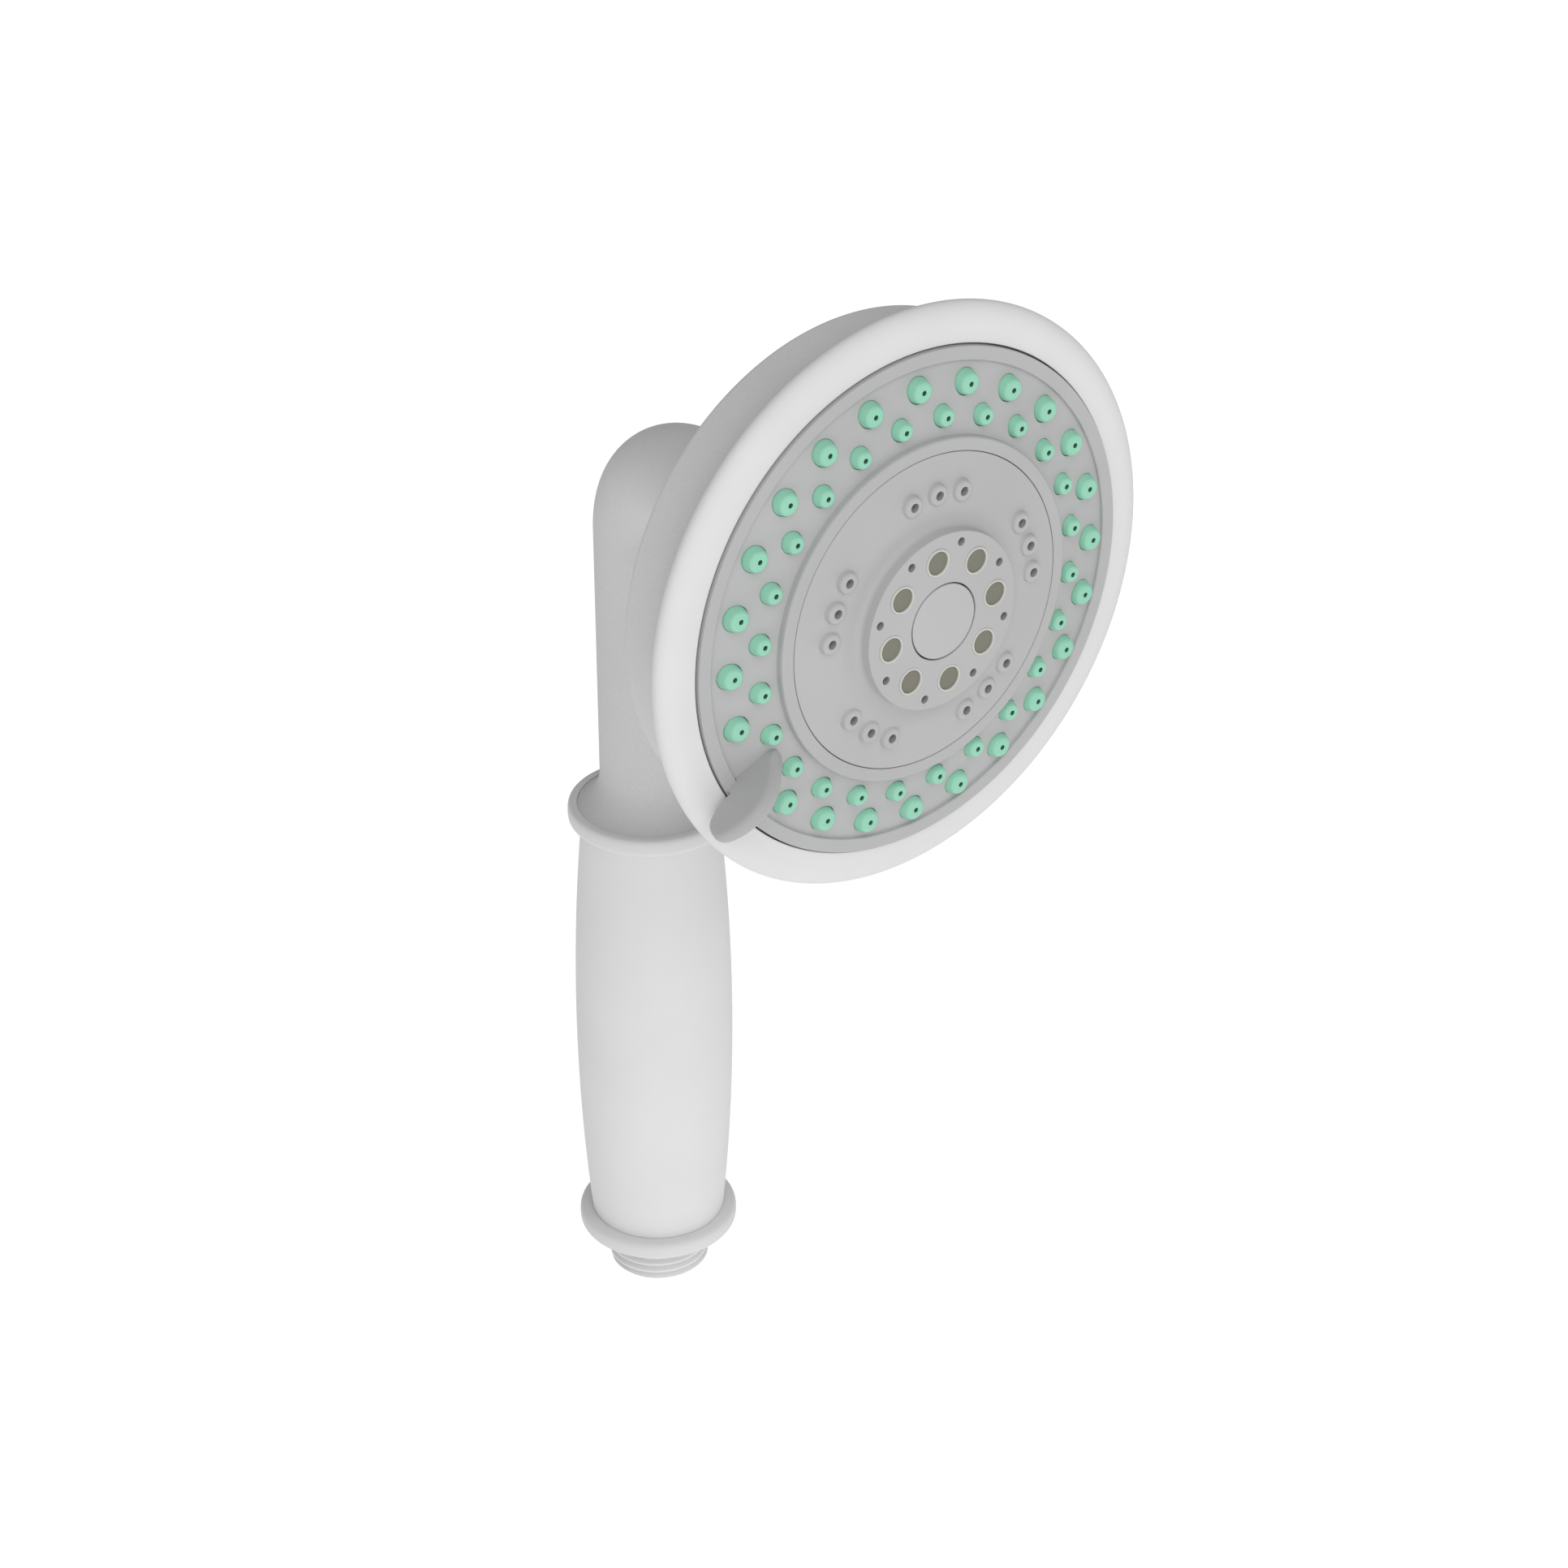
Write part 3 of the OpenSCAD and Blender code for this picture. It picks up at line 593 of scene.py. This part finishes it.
def build_cap():
    """A very slightly crowned cap with a hollow peg behind it."""
    crown, cap_r, back = 6.42, 7.14, 4.3
    peg_out, peg_in, peg_end = 5.15, 4.4, 2.6
    outline = [(0, crown, 0), (cap_r, TURRET_MID, 0.15), (cap_r - 0.01, back, 0.1), (peg_out, back, 0),
               (peg_out, peg_end, 0.1), (peg_in, peg_end, 0.1), (peg_in, back, 0), (0, back, 0)]
    bm = bmesh.new()
    turn(bm, on_head, rounded(outline))
    add_piece(bm, "centre_cap_body", "cap", "dial", ["centre_cap"])


def lever_half(s):
    """Half the lever's width at a radius: two round ends and straight flanks."""
    nose, tip = 2.05, 1.4
    if s < LEVER_IN + nose:
        return math.sqrt(max(0.0, nose ** 2 - (LEVER_IN + nose - s) ** 2))
    if s > LEVER_OUT - tip:
        return math.sqrt(max(0.0, tip ** 2 - (s - LEVER_OUT + tip) ** 2))
    return nose + (tip - nose) * (s - LEVER_IN - nose) / (LEVER_OUT - tip - LEVER_IN - nose)


def lever_top(s):
    """Height of the lever's upper edge at a radius: a rise to the crest and an elliptic fall."""
    fullness = 0.85
    if s < CREST_R:
        rise = math.sin(math.pi / 2 * (s - LEVER_IN) / (CREST_R - LEVER_IN)) ** fullness
        return LEVER_TOE + (CREST - LEVER_TOE) * rise
    out = min(1.0, (s - CREST_R) / (LEVER_OUT - CREST_R))
    return LEVER_TIP + (CREST - LEVER_TIP) * math.sqrt(1 - out ** 2)


def lever_under(s):
    """Height of the lever's underside at a radius, beyond its foot."""
    out = min(1.0, max(0.0, (s - UNDER_R) / (LEVER_OUT - UNDER_R)))
    return LEVER_TIP - (LEVER_TIP - UNDER) * math.sqrt(1 - out ** 2)


def lever_seat(r):
    """Height of the bottom of the lever's foot at a radius, a hair into the face."""
    sink = 0.02
    return (RING_TOP if r > CHANNEL_OUT else floor_height(r)) - sink


def build_lever():
    """A fin in cross-sections along its length, each with a flat base, two flanks and a round top."""
    along, arch, flank = 60, 24, 5
    stations = []
    for i in range(1, along):
        s = LEVER_IN + (FOOT_R - LEVER_IN) * (1 - math.cos(math.pi / 2 * i / along))
        stations.append((s, True))
    stations.append((FOOT_R, True))
    for i in range(along):
        s = FOOT_R + (LEVER_OUT - FOOT_R) * math.sin(math.pi / 2 * i / along)
        stations.append((s, False))
    bm = bmesh.new()
    ux, uy = clock(LEVER_CLOCK, 1)

    def vert(s, across, h):
        """A point s out from the dial's centre along the lever, and across it."""
        x, y = ux * s + uy * across, uy * s - ux * across
        return bm.verts.new(on_head(x, y, h))

    rings = [[vert(LEVER_IN, 0, lever_seat(LEVER_IN))]]
    for s, on_face in stations:
        half = lever_half(s)
        low = lever_seat(s) if on_face else lever_under(s)
        top = max(lever_top(s), low)
        bend = min(half, (top - low) / 2)
        outline = [(-half * (1 - 2 * k / flank), low) for k in range(flank)]
        outline += [(half, low + (top - bend - low) * k / flank) for k in range(flank)]
        for k in range(arch + 1):
            a = math.pi * k / arch
            outline.append((half * math.cos(a), top - bend + bend * math.sin(a)))
        outline += [(-half, low + (top - bend - low) * (1 - k / flank)) for k in range(1, flank)]
        loop = []
        for across, h in outline:
            floor = lever_seat(math.hypot(s, across)) if on_face else h
            loop.append(vert(s, across, max(h, floor)))
        rings.append(loop)
    rings.append([vert(LEVER_OUT, 0, LEVER_TIP)])
    for a, b in zip(rings, rings[1:]):
        join(bm, a, b)
    add_piece(bm, "lever_fin", "lever", "dial", ["selector_lever"], sharp=50)


# ------------------------------------------------------------------ handle

def barrel_r(z):
    """Radius of the grip at a height."""
    return GRIP_R - BARREL_R + math.sqrt(BARREL_R ** 2 - (z - GRIP_MID) ** 2)


def build_grip():
    """A bored barrel, with a crisp edge at both ends."""
    steps, crisp = 60, 0.12
    low, high = GRIP_MID - GRIP_LEN / 2, GRIP_MID + GRIP_LEN / 2
    zs = [low + GRIP_LEN * i / steps for i in range(steps + 1)]
    outside = [(barrel_r(z), z, crisp if z in (zs[0], zs[-1]) else 0) for z in zs]
    rows = rounded(outside + [(GRIP_BORE, high, 0), (GRIP_BORE, low, 0)])
    bm = bmesh.new()
    turn(bm, on_handle, rows, closed=True)
    add_piece(bm, "grip_body", "grip", "handset", ["grip_sleeve"])


def build_collar(name, node, low, high, inside):
    """A bead between two heights; inside is the outline of its bore and spigot."""
    rim = [(COLLAR_R, low, COLLAR_BEAD), (COLLAR_R, high, COLLAR_BEAD)]
    bm = bmesh.new()
    turn(bm, on_handle, rounded(rim + inside), closed=True)
    add_piece(bm, name, "collar", "handset", [node])


def build_collars():
    """Each collar has a spigot in the grip's end; the upper one also holds the neck's foot."""
    spigot_r, spigot = 10.7, 3
    foot_r, neck_bore, inlet_bore = 14.75, 8.55, 8.0
    low, high = UPPER_Z - COLLAR_HALF, UPPER_Z + COLLAR_HALF
    inside = [(foot_r, high, 0.15), (foot_r, NECK_FOOT, 0), (neck_bore, NECK_FOOT, 0),
              (neck_bore, low - spigot, 0), (spigot_r, low - spigot, 0.2), (spigot_r, low, 0)]
    build_collar("upper_collar_body", "upper_collar", low, high, inside)
    low, high = LOWER_Z - COLLAR_HALF, LOWER_Z + COLLAR_HALF
    inside = [(spigot_r, high, 0), (spigot_r, high + spigot, 0.2), (inlet_bore, high + spigot, 0),
              (inlet_bore, low, 0.2)]
    build_collar("lower_collar_body", "lower_collar", low, high, inside)


def thread_r(angle, z):
    """Radius of the right-handed G 1/2 thread at a clock angle and height."""
    root, crest, flat, chamfer, runout, relief = 9.32, 10.4775, 0.17, 0.95, 0.4, 0.35
    phase = (z / PITCH + angle / (2 * math.pi)) % 1.0
    t = abs(2 * phase - 1)
    rise = min(1.0, max(0.0, (t - flat) / (1 - 2 * flat)))
    r = root + (crest - root) * (0.5 - 0.5 * math.cos(math.pi * rise))
    r = min(r, crest - chamfer + z)
    return max(min(r, crest - runout + (THREAD_TOP - z) * 0.9), root - relief)


def build_inlet():
    """The cut thread, the plain spigot above it, and the stepped bore, in one mesh."""
    rows, count = 150, 224
    bm = bmesh.new()
    rings = []
    for i in range(rows + 1):
        z = THREAD_TOP * i / rows
        loop = []
        for k in range(count):
            a = 2 * math.pi * k / count
            r = thread_r(a, z)
            loop.append(bm.verts.new(on_handle(r * math.sin(a), r * math.cos(a), z)))
        rings.append(loop)
    for a, b in zip(rings, rings[1:]):
        join(bm, a, b)
    spigot_r, spigot_end, socket_end = 7.95, 24, 16
    water_r, filter_r, filter_seat, rim_r = 5.4, 8.3, 2.4, 8.8
    inside = [(spigot_r, THREAD_TOP, 0), (spigot_r, spigot_end, 0.3), (TUBE_SOCKET, spigot_end, 0.2),
              (TUBE_SOCKET, socket_end, 0), (water_r, socket_end, 0), (water_r, filter_seat, 0.2),
              (filter_r, filter_seat, 0), (filter_r, 0, 0.25), (rim_r, 0, 0)]
    tube = turn(bm, on_handle, rounded(inside), count)
    join(bm, rings[-1], tube[0])
    join(bm, tube[-1], rings[0])
    add_piece(bm, "threaded_inlet", "inlet", "handset", ["inlet_connector"], sharp=60)


# ------------------------------------------------------------------ scene

def finish_cad_nodes():
    """The inner pieces keep their CAD shapes and take the material of their slot."""
    for part in frame["record"]["subparts"]:
        node = frame["nodes"][part["node"]]
        if node.hide_render:
            continue
        node.data.materials.clear()
        node.data.materials.append(MATERIALS[part["material_slot"]])


def build_floor():
    """A plain pale floor a hair under the inlet, which glows so that no shadow darkens it much."""
    bm = bmesh.new()
    bmesh.ops.create_grid(bm, x_segments=8, y_segments=8, size=FLOOR_HALF)
    mesh = bpy.data.meshes.new("floor")
    bm.to_mesh(mesh)
    bm.free()
    floor = bpy.data.objects.new("floor", mesh)
    bpy.context.scene.collection.objects.link(floor)
    floor.location.z = CAD_BOX[0].z - FLOOR_DROP
    mat = bpy.data.materials.new("pale_floor")
    mat.use_nodes = True
    shader = mat.node_tree.nodes["Principled BSDF"]
    shader.inputs["Base Color"].default_value = (*grey(0.12), 1)
    shader.inputs["Roughness"].default_value = 0.9
    shader.inputs["Specular IOR Level"].default_value = 0.0
    shader.inputs["Emission Color"].default_value = (1, 1, 1, 1)
    shader.inputs["Emission Strength"].default_value = 1.0
    mesh.materials.append(mat)


def softbox(name, place, size, power):
    """A square soft light that looks at the middle of the object."""
    light = bpy.data.lights.new(name, "AREA")
    light.size = size
    light.energy = power
    lamp = bpy.data.objects.new(name, light)
    bpy.context.scene.collection.objects.link(lamp)
    lamp.location = place
    middle = (CAD_BOX[0] + CAD_BOX[1]) / 2
    lamp.rotation_mode = "QUATERNION"
    lamp.rotation_quaternion = (middle - Vector(place)).to_track_quat("-Z", "Y")


def light_scene():
    """An even grey surround and one large softbox above, in front and to the left."""
    world = bpy.data.worlds.new("studio")
    world.use_nodes = True
    world.node_tree.nodes["Background"].inputs["Color"].default_value = (1, 1, 1, 1)
    world.node_tree.nodes["Background"].inputs["Strength"].default_value = SURROUND
    bpy.context.scene.world = world
    bpy.context.scene.view_settings.view_transform = "Standard"
    softbox("key", KEY_PLACE, KEY_SIZE, KEY_POWER)


def place_camera():
    """In front of the object, above it and to the left, looking down at its middle."""
    data = bpy.data.cameras.new("camera")
    data.lens = LENS
    data.sensor_width = SENSOR
    camera = bpy.data.objects.new("camera", data)
    bpy.context.scene.collection.objects.link(camera)
    camera.location = CAMERA_PLACE
    camera.rotation_mode = "QUATERNION"
    camera.rotation_quaternion = Vector(CAMERA_LOOK).to_track_quat("-Z", "Y")
    bpy.context.scene.camera = camera


build_rear_shell()
build_bezel()
build_elbow()
build_face_plate()
build_nozzles()
build_spray_disc()
build_jet_insert()
build_cap()
build_lever()
build_grip()
build_collars()
build_inlet()
finish_cad_nodes()
build_floor()
light_scene()
place_camera()
